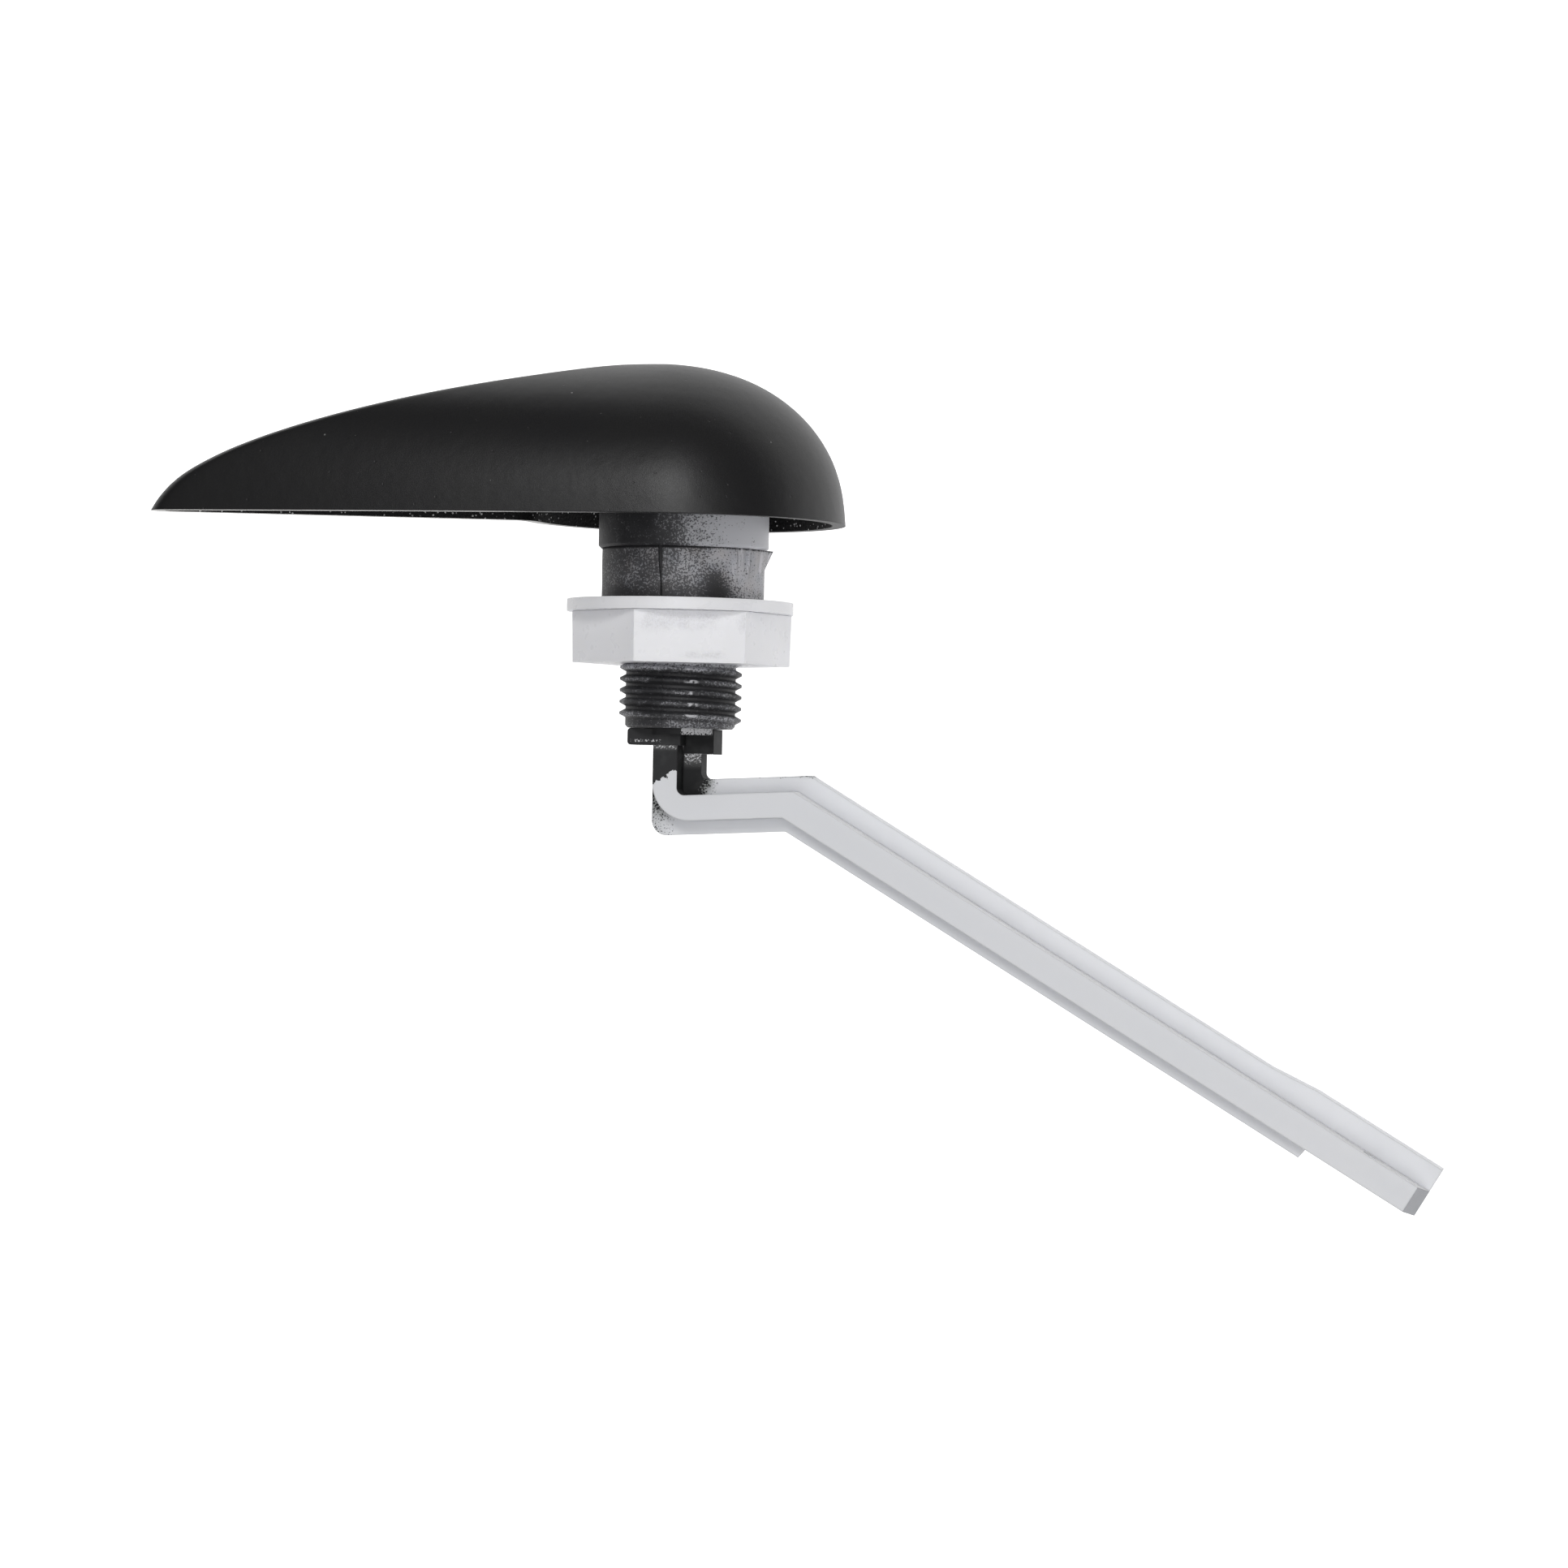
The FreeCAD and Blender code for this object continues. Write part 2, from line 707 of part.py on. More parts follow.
def outline(level, inset):
    """A level outline of the handle in plan, X and Z, as points in order round it."""
    head, head_radius, tip, tip_radius = comma(level, inset)
    upper, upper_radius = upper_arc(head, head_radius, tip, tip_radius, inset)
    line = lower_line(head, head_radius, tip, tip_radius, inset)
    hollow = size("crotch_radius") + size("crotch_growth") * level + inset
    pit = crotch_centre(head, head_radius, line, hollow)
    head_top = angle_of(head - upper)
    tip_top = angle_of(tip - upper)
    tip_low = angle_of(line[2])
    pit_head = angle_of(pit - head)
    touch = tip + line[2] * tip_radius
    crotch = pit - line[2] * hollow
    points = arc_points(head, head_radius, pit_head, head_top - 2 * math.pi, HEAD_POINTS)
    points += arc_points(upper, upper_radius, head_top, tip_top, EDGE_POINTS)
    points += arc_points(tip, tip_radius, tip_top, tip_low, TIP_POINTS)
    points += [touch + (crotch - touch) * (i / LINE_POINTS) for i in range(LINE_POINTS)]
    pit_start = angle_of(crotch - pit)
    points += arc_points(pit, hollow, pit_start, pit_head + math.pi, CROTCH_POINTS)
    return points


def dome_row(level, inset, height):
    """A ring of poles at one level; above the last true outline it shrinks towards the crest."""
    used = min(level, LAST_OUTLINE)
    shrink = fullness(level, HEAD_POWER) / fullness(used, HEAD_POWER)
    crest = FreeCAD.Vector(size("dome_centre"), size("apex_z"), 0)
    y = size("rim_y") - height * level
    row = []
    for p in outline(used, inset):
        q = crest + (p - crest) * shrink
        row.append(FreeCAD.Vector(q.x, y, q.y))
    return row


def dome_rows(inset, skirt):
    """Rings of poles from the rim up to the crest; a skirt carries the rim's ring further back."""
    height = size("dome_height") - inset
    levels = [math.sin(math.radians(a)) for a in range(0, 90, LEVEL_STEP)]
    rows = [dome_row(level, inset, height) for level in levels]
    if skirt:
        rows.insert(0, [p + FreeCAD.Vector(0, skirt, 0) for p in rows[0]])
    crest = FreeCAD.Vector(size("dome_centre"), size("rim_y") - height, size("apex_z"))
    rows.append([crest] * len(rows[0]))
    return rows


def spline_skin(rings):
    """One smooth tube-like surface drawn over rings of poles."""
    grid = [list(column) for column in zip(*rings, strict=True)]
    count = len(grid)
    spans = len(rings) - DEGREE
    surface = Part.BSplineSurface()
    surface.buildFromPolesMultsKnots(
        grid,
        [1] * (count + 1),
        [DEGREE + 1] + [1] * (spans - 1) + [DEGREE + 1],
        list(range(count + 1)),
        list(range(spans + 1)),
        True,
        False,
        DEGREE,
        DEGREE,
    )
    return surface


def skin_solid(rings):
    """A skin whose open ends are closed by flat faces."""
    side = spline_skin(rings).toShape()
    skin = side.Faces[0]
    rims = [e for e in side.Edges if not e.Degenerated and not e.isSeam(skin)]
    ends = [Part.Face(Part.Wire(rim)) for rim in rims]
    solid = Part.Solid(Part.Shell([skin, *ends]))
    solid.fix(1e-5, 1e-5, 1e-3)
    return solid


def dome_solid(inset, skirt=0):
    return skin_solid(dome_rows(inset, skirt))


def rod(radius, y_low, y_high, x=0, z=0):
    """A cylinder along +Y."""
    start = FreeCAD.Vector(x, y_low, z)
    return Part.makeCylinder(radius, y_high - y_low, start, FreeCAD.Vector(0, 1, 0))


def arc_block(radii, y_low, y_high, start, sweep):
    """A curved block round the spindle's axis; angles turn about +Y from +X."""
    inner, outer = radii
    block = Part.makeCylinder(outer, y_high - y_low, FreeCAD.Vector(), FreeCAD.Vector(0, 0, 1), sweep)
    block = block.cut(Part.makeCylinder(inner, y_high - y_low))
    block.rotate(FreeCAD.Vector(), FreeCAD.Vector(0, 0, 1), start)
    block.rotate(FreeCAD.Vector(), FreeCAD.Vector(1, 0, 0), -90)
    block.translate(FreeCAD.Vector(0, y_low, 0))
    return block


def around(azimuth, radius, y):
    """A point at an angle about +Y from +X."""
    turn = math.radians(azimuth)
    return FreeCAD.Vector(radius * math.cos(turn), y, -radius * math.sin(turn))


def square_socket():
    """The hole that takes the spindle's square drive."""
    side = size("square_side") + 2 * size("socket_gap")
    depth = size("square_length") + size("socket_end_gap")
    y_low = size("boss_front") - depth
    return Part.makeBox(side, depth, side, FreeCAD.Vector(-side / 2, y_low, -side / 2))


def handle_boss(outer):
    """The post inside the dome, its bearing flange and the stop key that hangs from it."""
    foot = size("boss_front")
    post = rod(size("boss_radius"), size("rim_y") - size("dome_height"), foot)
    flange = rod(size("boss_flange_radius"), foot - size("boss_flange_thickness"), foot)
    start = size("stop_window_start") + size("key_margin")
    inner_radius = size("stop_ring_radius") + size("key_inner_gap")
    outer_radius = size("pocket_radius") - size("key_outer_gap")
    low, high = foot - size("key_root"), foot + size("key_length")
    key = arc_block((inner_radius, outer_radius), low, high, start, size("key_width"))
    return post.fuse([flange, key]).common(outer)


def screw_holes():
    """The set screw's hole in the post and the key's way in through the head's lower wall."""
    y = size("screw_y")
    down = FreeCAD.Vector(0, 0, -1)
    radius = size("screw_radius") + size("screw_hole_gap")
    overrun = size("shell_wall")
    inner_end = FreeCAD.Vector(0, y, overrun - size("square_side") / 2)
    depth = size("boss_radius") + overrun + inner_end.z
    hole = Part.makeCylinder(radius, depth, inner_end, down)
    outside_post = FreeCAD.Vector(0, y, -size("boss_radius") - overrun)
    way_in = Part.makeCylinder(size("screw_access_radius"), size("head_radius"), outside_post, down)
    return [hole, way_in]


def make_handle():
    """One casting: hollow dome and paddle, with the boss that takes the spindle."""
    outer = dome_solid(0)
    shell = outer.cut(dome_solid(size("shell_wall"), SKIRT))
    foot = size("boss_front")
    leg = around(size("spring_front_azimuth"), size("spring_radius"), foot)
    leg_hole_end = foot - size("spring_leg") - size("leg_hole_end_gap")
    leg_hole = rod(size("leg_hole_radius"), leg_hole_end, foot + SKIRT, leg.x, leg.z)
    casting = shell.fuse(handle_boss(outer)).cut([square_socket(), leg_hole, *screw_holes()])
    part = document.addObject("Part::Feature", "handle_shell")
    part.Label = "handle_shell"
    part.Shape = casting


# ---------------------------------------------------------------- set screw, thrust washer and spring


def make_set_screw():
    """A headless screw with a hexagon socket, pointing up at the spindle's flat."""
    body = new_body("handle_set_screw")
    profile = new_sketch(body, "screw_profile", "XZ_Plane")
    tip = "-(dims.square_side / 2 + dims.screw_tip_gap)"
    back = f"({tip} - dims.screw_length)"
    polygon(profile, [
        ("0", back),
        ("dims.screw_radius - dims.screw_edge_break", back),
        ("dims.screw_radius", f"{back} + dims.screw_edge_break"),
        ("dims.screw_radius", f"{tip} - dims.screw_point"),
        ("dims.screw_radius - dims.screw_point", tip),
        ("0", tip),
    ])
    revolve(body, "screw_turning", profile)
    socket = new_sketch(body, "screw_socket_outline", lift=back)
    corner = "dims.screw_key / 2 / cos(30)"
    angles = range(0, 360, 60)
    polygon(socket, [(f"{corner} * cos({a})", f"{corner} * sin({a})") for a in angles])
    pocket = feature(body, "Pocket", "screw_socket", socket, Length="dims.screw_length / 2")
    pocket.Reversed = True
    document.recompute()
    body.setExpression("Placement.Base.y", "dims.screw_y")


def make_thrust_washer():
    body = new_body("thrust_washer")
    section = new_sketch(body, "thrust_section")
    back = "dims.hub_front + dims.thrust_gap"
    polygon(section, rectangle(
        "dims.thrust_inner_radius",
        f"-({back}) - dims.thrust_thickness",
        "dims.boss_flange_radius",
        f"-({back})",
    ))
    revolve(body, "thrust_turning", section)


# Steps along the spring's wire in degrees, and how much of each corner its bends round off.
COIL_STEP = 15
LEG_POINTS = 5
BEND_CUT = 0.9
# Poles round the wire.
WIRE_POINTS = 10


def along_segment(start, end, count):
    """Evenly spaced points from start up to and including end."""
    return [start + (end - start) * (i / (count - 1)) for i in range(count)]


def coil_point(turned, out=0):
    """A point of the spring's coil after an angle from its front end, moved outwards by some distance."""
    front = size("spring_back") - size("spring_pitch") * size("spring_turns")
    y = front + size("spring_pitch") * turned / 360
    return around(size("spring_front_azimuth") + turned, size("spring_radius") + out, y)


def spring_centreline():
    """The wire's path: up the front leg, round the coil, and out along the back leg."""
    sweep = 360 * size("spring_turns")
    trim = math.degrees(BEND_CUT / size("spring_radius"))
    bend = coil_point(0)
    front_end = FreeCAD.Vector(bend.x, size("boss_front") - size("spring_leg"), bend.z)
    points = along_segment(front_end, bend - FreeCAD.Vector(0, BEND_CUT, 0), LEG_POINTS)
    steps = round(sweep / COIL_STEP)
    points += [coil_point(trim + (sweep - 2 * trim) * i / steps) for i in range(steps + 1)]
    reach = size("pocket_radius") + size("spring_leg_bite") - size("spring_radius")
    points += along_segment(coil_point(sweep, BEND_CUT), coil_point(sweep, reach), LEG_POINTS)
    return points


def wire_rings(path, radius):
    """Rings of poles square to a path, carried along it without twist."""
    flatness = (2 + math.cos(2 * math.pi / WIRE_POINTS)) / 3
    normal = FreeCAD.Vector(1, 0, 0)
    rings = []
    for i, point in enumerate(path):
        ahead = (path[min(i + 1, len(path) - 1)] - path[max(i - 1, 0)]).normalize()
        normal = (normal - ahead * normal.dot(ahead)).normalize()
        side = ahead.cross(normal)
        turns = [2 * math.pi * k / WIRE_POINTS for k in range(WIRE_POINTS)]
        spokes = [normal * math.cos(a) + side * math.sin(a) for a in turns]
        rings.append([point + spoke * (radius / flatness) for spoke in spokes])
    return rings


def make_spring():
    """Torsion spring in the hub's pocket: one leg in the hub's wall, the other in the handle's boss."""
    part = document.addObject("Part::Feature", "return_spring")
    part.Label = "return_spring"
    part.Shape = skin_solid(wire_rings(spring_centreline(), size("spring_wire_radius")))


# ---------------------------------------------------------------- build, check and write

SUB_PARTS = [
    "handle_shell",
    "handle_set_screw",
    "thrust_washer",
    "return_spring",
    "mounting_bushing",
    "spigot_wrap",
    "nut_washer",
    "lock_nut",
    "lever_arm",
]


def check_document():
    for item in document.Objects:
        if "Invalid" in item.State or "Error" in item.State:
            raise RuntimeError(f"{item.Name} failed: {item.State}")
    for name in SUB_PARTS:
        shape = document.getObjectsByLabel(name)[0].Shape
        if shape.isNull() or not shape.isValid() or not shape.Solids:
            raise RuntimeError(f"{name} has no valid solid")


def write_parts():
    os.makedirs("parts", exist_ok=True)
    for name in SUB_PARTS:
        shape = document.getObjectsByLabel(name)[0].Shape
        shape.exportStep(f"parts/{name}.step")
        print(f"{name}: {len(shape.Solids)} solid, {shape.Volume:.1f} mm3")


make_handle()
make_set_screw()
make_thrust_washer()
make_spring()
make_bushing()
make_wrap()
make_washer()
make_nut()
make_arm()
document.recompute()
check_document()
write_parts()
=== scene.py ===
"""Looks of the toilet tank trip lever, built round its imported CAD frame.

Lengths in the shaders and in the small shape tables are millimetres; Blender's own are metres.
Angles called azimuth turn about the spindle's axis, from straight up (+Z) towards -X.
"""

import math

import bpy
from mathutils import Matrix, Vector


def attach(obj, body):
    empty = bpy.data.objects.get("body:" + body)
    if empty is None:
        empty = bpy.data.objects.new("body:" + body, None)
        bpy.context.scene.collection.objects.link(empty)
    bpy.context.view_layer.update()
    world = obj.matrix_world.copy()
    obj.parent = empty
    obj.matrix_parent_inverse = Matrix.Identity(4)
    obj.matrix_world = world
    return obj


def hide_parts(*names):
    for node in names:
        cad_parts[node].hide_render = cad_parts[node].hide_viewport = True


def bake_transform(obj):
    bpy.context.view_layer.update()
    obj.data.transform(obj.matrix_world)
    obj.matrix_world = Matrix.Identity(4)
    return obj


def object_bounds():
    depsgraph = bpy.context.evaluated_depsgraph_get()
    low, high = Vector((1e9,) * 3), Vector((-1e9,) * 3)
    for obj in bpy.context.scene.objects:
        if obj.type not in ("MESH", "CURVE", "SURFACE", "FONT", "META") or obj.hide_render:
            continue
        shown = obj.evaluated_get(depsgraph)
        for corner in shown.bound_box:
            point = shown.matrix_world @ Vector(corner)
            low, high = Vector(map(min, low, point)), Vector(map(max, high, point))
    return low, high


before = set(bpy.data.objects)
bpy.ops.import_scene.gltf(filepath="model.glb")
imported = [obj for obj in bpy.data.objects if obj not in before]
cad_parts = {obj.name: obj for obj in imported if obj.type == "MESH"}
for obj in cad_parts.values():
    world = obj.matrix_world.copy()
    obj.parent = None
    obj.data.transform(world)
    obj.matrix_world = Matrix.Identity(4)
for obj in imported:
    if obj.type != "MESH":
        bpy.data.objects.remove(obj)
cad_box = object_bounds()

MM = 0.001


# ---------------------------------------------------------------- shader building


SURFACE_INPUTS = {
    "color": "Base Color",
    "rough": "Roughness",
    "metal": "Metallic",
    "specular": "Specular IOR Level",
    "scatter": "Subsurface Weight",
    "scatter_scale": "Subsurface Scale",
    "scatter_radius": "Subsurface Radius",
}

# The noise's value above which a droplet shows: with no spray, and how far it falls at full spray.
NO_SPRAY_LEVEL, SPRAY_LEVEL_FALL = 0.7, 0.4
DROPLET_SOFT = 0.05


class Shader:
    """A node material and short ways to add to it. Takes sockets and plain numbers alike."""

    def __init__(self, name):
        self.material = bpy.data.materials.new(name)
        self.material.use_nodes = True
        self.tree = self.material.node_tree
        self.surface = self.tree.nodes["Principled BSDF"]
        place = self.node("ShaderNodeTexCoord").outputs["Object"]
        scaled = self.node("ShaderNodeVectorMath", operation="SCALE")
        self.put(scaled.inputs["Vector"], place)
        scaled.inputs["Scale"].default_value = 1 / MM
        self.place = scaled.outputs["Vector"]
        self.x, self.y, self.z = self.split(self.place)
        facing = self.node("ShaderNodeNewGeometry").outputs["Normal"]
        local = self.node("ShaderNodeVectorTransform", vector_type="NORMAL")
        local.convert_from, local.convert_to = "WORLD", "OBJECT"
        self.put(local.inputs["Vector"], facing)
        self.normal_x, self.normal_y, self.normal_z = self.split(local.outputs["Vector"])

    def node(self, kind, **settings):
        made = self.tree.nodes.new(kind)
        for key, value in settings.items():
            setattr(made, key, value)
        return made

    def put(self, socket, value):
        if isinstance(value, bpy.types.NodeSocket):
            self.tree.links.new(value, socket)
        elif isinstance(value, tuple) and len(value) == 3 and socket.type == "RGBA":
            socket.default_value = (*value, 1)
        else:
            socket.default_value = value

    def split(self, vector):
        made = self.node("ShaderNodeSeparateXYZ")
        self.put(made.inputs[0], vector)
        return made.outputs

    def calc(self, operation, *values):
        made = self.node("ShaderNodeMath", operation=operation)
        for socket, value in zip(made.inputs, values):
            self.put(socket, value)
        return made.outputs[0]

    def chain(self, operation, values):
        total = values[0]
        for value in values[1:]:
            total = self.calc(operation, total, value)
        return total

    def add(self, *values):
        return self.chain("ADD", values)

    def times(self, *values):
        return self.chain("MULTIPLY", values)

    def most(self, *values):
        return self.chain("MAXIMUM", values)

    def less(self, a, b):
        return self.calc("SUBTRACT", a, b)

    def invert(self, a):
        return self.calc("SUBTRACT", 1.0, a)

    def step(self, value, low, high, start=0.0, end=1.0):
        """Rises smoothly from start to end as value goes from low to high."""
        made = self.node("ShaderNodeMapRange", interpolation_type="SMOOTHSTEP")
        names = ("Value", "From Min", "From Max", "To Min", "To Max")
        for name, number in zip(names, (value, low, high, start, end)):
            self.put(made.inputs[name], number)
        return made.outputs[0]

    def band(self, value, low, high, soft):
        """One between low and high, zero outside, with soft edges."""
        rise = self.step(value, low - soft, low + soft)
        return self.times(rise, self.step(value, high - soft, high + soft, 1.0, 0.0))

    def mapped(self, shift, stretch=(1, 1, 1)):
        mapping = self.node("ShaderNodeMapping")
        mapping.inputs["Scale"].default_value = stretch
        mapping.inputs["Location"].default_value = (shift, shift, shift)
        self.put(mapping.inputs["Vector"], self.place)
        return mapping.outputs[0]

    def noise(self, per_mm, detail=2.0, rough=0.5, stretch=(1, 1, 1), shift=0.0):
        made = self.node("ShaderNodeTexNoise")
        self.put(made.inputs["Vector"], self.mapped(shift, stretch))
        made.inputs["Scale"].default_value = per_mm
        made.inputs["Detail"].default_value = detail
        made.inputs["Roughness"].default_value = rough
        return made.outputs["Fac"]

    def specks(self, per_mm, share, radius, shift=0.0):
        """Round specks, at most one in each cell: share says in how many, radius is in cells."""
        made = self.node("ShaderNodeTexVoronoi")
        self.put(made.inputs["Vector"], self.mapped(shift))
        made.inputs["Scale"].default_value = per_mm
        near = self.invert(self.step(made.outputs["Distance"], radius * 0.6, radius))
        chosen = self.calc("LESS_THAN", self.split(made.outputs["Color"])[0], share)
        return self.times(near, chosen)

    def spray(self, density, grain, shift=0.0):
        """Droplets that cover a share of the surface given by density, from 0 to 1."""
        level = self.less(NO_SPRAY_LEVEL, self.times(density, SPRAY_LEVEL_FALL))
        level = self.add(level, self.step(density, 0.0, 0.06, 0.5, 0.0))
        low = self.less(level, DROPLET_SOFT)
        high = self.add(level, DROPLET_SOFT)
        return self.step(self.noise(grain, 1.5, 0.6, shift=shift), low, high)

    def mix(self, share, a, b):
        made = self.node("ShaderNodeMix", data_type="RGBA", clamp_factor=True)
        self.put(made.inputs["Factor"], share)
        self.put(made.inputs["A"], a)
        self.put(made.inputs["B"], b)
        return made.outputs["Result"]

    def blend(self, share, a, b):
        made = self.node("ShaderNodeMix", data_type="FLOAT", clamp_factor=True)
        self.put(made.inputs["Factor"], share)
        self.put(made.inputs["A"], a)
        self.put(made.inputs["B"], b)
        return made.outputs["Result"]

    def bump(self, *layers, edge=0.0):
        """Height layers, each a (height, depth in millimetres) pair, with edges softened."""
        normal = self.node("ShaderNodeNewGeometry").outputs["Normal"]
        if edge:
            rounded = self.node("ShaderNodeBevel", samples=4)
            rounded.inputs["Radius"].default_value = edge * MM
            normal = rounded.outputs["Normal"]
        for height, depth in layers:
            made = self.node("ShaderNodeBump")
            made.inputs["Strength"].default_value = 1.0
            made.inputs["Distance"].default_value = depth * MM
            self.put(made.inputs["Height"], height)
            self.put(made.inputs["Normal"], normal)
            normal = made.outputs["Normal"]
        self.put(self.surface.inputs["Normal"], normal)

    def hide_back(self):
        """Makes the back of each face clear, so that the floor doesn't hide the underside."""
        choice = self.node("ShaderNodeMixShader")
        self.put(choice.inputs[0], self.node("ShaderNodeNewGeometry").outputs["Backfacing"])
        self.put(choice.inputs[1], self.surface.outputs[0])
        self.put(choice.inputs[2], self.node("ShaderNodeBsdfTransparent").outputs[0])
        self.put(self.tree.nodes["Material Output"].inputs["Surface"], choice.outputs[0])

    def set(self, **values):
        for key, value in values.items():
            self.put(self.surface.inputs[SURFACE_INPUTS[key]], value)


# ---------------------------------------------------------------- handle

HANDLE_RIM_Y = -10.3
# The paddle's middle line rises from the spindle's axis towards the tip.
SPINE_END, SPINE_SLOPE = 60.0, 17.2 / 67.3
# Where along X the rim's bottom face starts to turn pale, and from where it is pale all over.
PALE_RIM_START, PALE_RIM_FULL = 14.0, 21.0

PAINT_TINTS = ((0.0075, 0.0073, 0.0088), (0.0115, 0.0112, 0.0112))
DUST_GREY = (0.16, 0.16, 0.16)
RAW_BLACK, CRUMB_GREY = (0.004, 0.004, 0.0045), (0.6, 0.6, 0.6)
PALE_RIM_GREY = (0.6, 0.59, 0.575)


def grey(value):
    return (value, value, value)


def handle_inside(s):
    """One on faces that look in towards the handle's middle line, which are in its hollow."""
    spine = s.calc("MINIMUM", s.most(s.x, 0.0), SPINE_END)
    above = s.less(s.z, s.times(spine, SPINE_SLOPE))
    away = s.add(
        s.times(s.normal_x, s.less(s.x, spine)),
        s.times(s.normal_y, s.less(s.y, HANDLE_RIM_Y)),
        s.times(s.normal_z, above),
    )
    return s.step(away, -0.1, 0.1, 1.0, 0.0)


def handle_paint():
    """Matte black paint on a casting: rough in the hollow, pale on part of the paddle's rim."""
    s = Shader("handle_paint")
    inside = handle_inside(s)
    dust = s.most(s.specks(0.35, 0.16, 0.06), s.specks(0.9, 0.05, 0.06, 3.0))
    skin = s.mix(dust, s.mix(s.noise(0.08, 3.0), *PAINT_TINTS), DUST_GREY)
    crumbs = s.times(s.specks(2.0, 0.6, 0.3, 5.0), s.step(s.noise(0.3, 2.0), 0.4, 0.6))
    raw = s.mix(crumbs, RAW_BLACK, CRUMB_GREY)
    on_rim = s.times(
        s.step(s.normal_y, 0.93, 0.98),
        s.band(s.y, HANDLE_RIM_Y - 0.02, HANDLE_RIM_Y + 0.2, 0.03),
    )
    patchy = s.step(s.noise(0.6, 2.0), 0.25, 0.5, 0.65, 1.0)
    # Pale grey on the rim's bottom face from X 14 mm on, in patches.
    paler = s.times(on_rim, s.step(s.x, PALE_RIM_START, PALE_RIM_FULL), patchy)
    grain = s.noise(9.0, 2.0)
    s.set(
        color=s.mix(paler, s.mix(inside, skin, raw), PALE_RIM_GREY),
        rough=s.blend(inside, s.step(grain, 0.2, 0.8, 0.37, 0.44), 0.6),
        specular=s.blend(inside, 0.4, 0.2),
    )
    pits = s.specks(0.7, 0.25, 0.13, 7.0)
    lumps = s.times(inside, s.noise(3.0, 3.0))
    s.bump((s.noise(0.5, 2.0), 0.03), (grain, 0.012), (pits, -0.02), (lumps, 0.12), edge=0.2)
    return s.material


# ---------------------------------------------------------------- bushing and its wrap

BARE_GREY = (0.62, 0.625, 0.665)
BARE_FILM = (0.5, 0.505, 0.53)
SPRAY_BLACK = (0.009, 0.009, 0.01)
SPRAY_HAZE = (0.035, 0.035, 0.038)
PAINTED_GLINT_WHITE = (0.75, 0.75, 0.78)
CREASE_HIGHLIGHT_WHITE = (0.8, 0.79, 0.84)
FILM_TINTS = ((0.96, 0.99, 1.05), (1.06, 1.0, 0.95))

# Where along X the hub is bare and where it is black.
HUB_BARE, HUB_BLACK = -10.5, 3.5
# The strip along X, on top, where the hub and the thread's crests catch the light: painted
# highlights go there.
HUB_PAINTED_GLINT = (-4.4, -3.0, 2.6)
CREST_PAINTED_GLINT = (-3.9, -2.4, 0.3)
THREAD_ROOT, THREAD_CREST = 7.2, 7.95
NUT_BACK = 8.3
LAST_TURN = (15.0, 16.3)
PARTING_LINE = (0.5, 0.7, 0.05)
# The dark smudge low on the wrap: its middle along X and its half width.
SMUDGE_X, SMUDGE_REACH = -6.6, 3.2


def peppered(s, density, bare, grain=4.0):
    """Colour and paint share of a pale plastic under black spray, in a haze and in droplets."""
    coarse = s.spray(s.less(density, 0.35), grain / 2, shift=11.0)
    paint = s.most(s.spray(density, grain), coarse)
    haze = s.step(density, 0.05, 0.95, 0.0, 0.92)
    base = s.mix(haze, bare, SPRAY_HAZE)
    return s.mix(s.times(paint, 0.75), base, SPRAY_BLACK), paint


def bushing_spray(s, radius, on_thread):
    """Black on the hub's +X side, thin towards -X, and worn off the thread's crests in streaks."""
    uneven = s.step(s.noise(0.4, 2.0), 0.3, 0.7, -0.06, 0.06)
    hub = s.add(s.step(s.x, HUB_BARE, HUB_BLACK, 0.02, 0.87), uneven)
    past_nut = s.step(s.y, NUT_BACK, NUT_BACK + 1.6, 0.35, 0.88)
    thinner = s.times(s.step(s.y, *LAST_TURN, 0.0, -0.3), s.step(s.x, -1.0, 2.0, 1.0, 0.3))
    streaks = s.noise(0.35, 3.0, 0.6, stretch=(0.6, 1.6, 0.6))
    outermost = s.step(radius, THREAD_ROOT, THREAD_CREST)
    paler = s.times(outermost, s.step(streaks, 0.35, 0.65, 0.0, 0.34))
    thread = s.less(s.add(past_nut, thinner), paler)
    under_wrap = s.times(s.band(s.y, -6.65, -0.1, 0.1), s.step(radius, 10.28, 10.34, 1.0, 0.0))
    return s.most(s.blend(on_thread, hub, thread), under_wrap)


def bushing_painted_glints(s, radius, on_thread):
    """Painted highlights: bright flecks along the top of the hub and of the thread's crests."""
    on_hub = s.times(s.band(s.x, *HUB_PAINTED_GLINT), s.invert(on_thread))
    flecks = s.times(s.spray(s.times(on_hub, 0.5), 4.5, shift=2.0), on_hub, 0.5)
    outermost = s.step(radius, 7.8, 7.92)
    crest = s.times(s.band(s.x, *CREST_PAINTED_GLINT), outermost, on_thread, s.step(s.z, 5.0, 6.0))
    return s.most(flecks, s.times(crest, s.step(s.noise(1.5, 2.0), 0.42, 0.6, 0.0, 0.7)))


def bushing_plastic():
    """Pale grey moulding under uneven black overspray."""
    s = Shader("bushing_plastic")
    radius = s.calc("SQRT", s.add(s.times(s.x, s.x), s.times(s.z, s.z)))
    on_thread = s.step(s.y, -1.0, 0.5)
    color, paint = peppered(s, bushing_spray(s, radius, on_thread), BARE_GREY)
    s.set(
        # The hub's and the crests' painted highlights are mixed into the colour here.
        color=s.mix(bushing_painted_glints(s, radius, on_thread), color, PAINTED_GLINT_WHITE),
        rough=s.blend(paint, 0.36, 0.5),
        specular=s.blend(paint, 0.42, 0.3),
    )
    on_top = s.times(s.step(s.y, 0.0, 0.5), s.step(s.z, 5.0, 6.0))
    parting = s.times(s.band(s.x, *PARTING_LINE), on_top)
    s.bump((s.noise(1.2, 3.0), 0.04), (paint, 0.02), (parting, 0.08), edge=0.3)
    return s.material


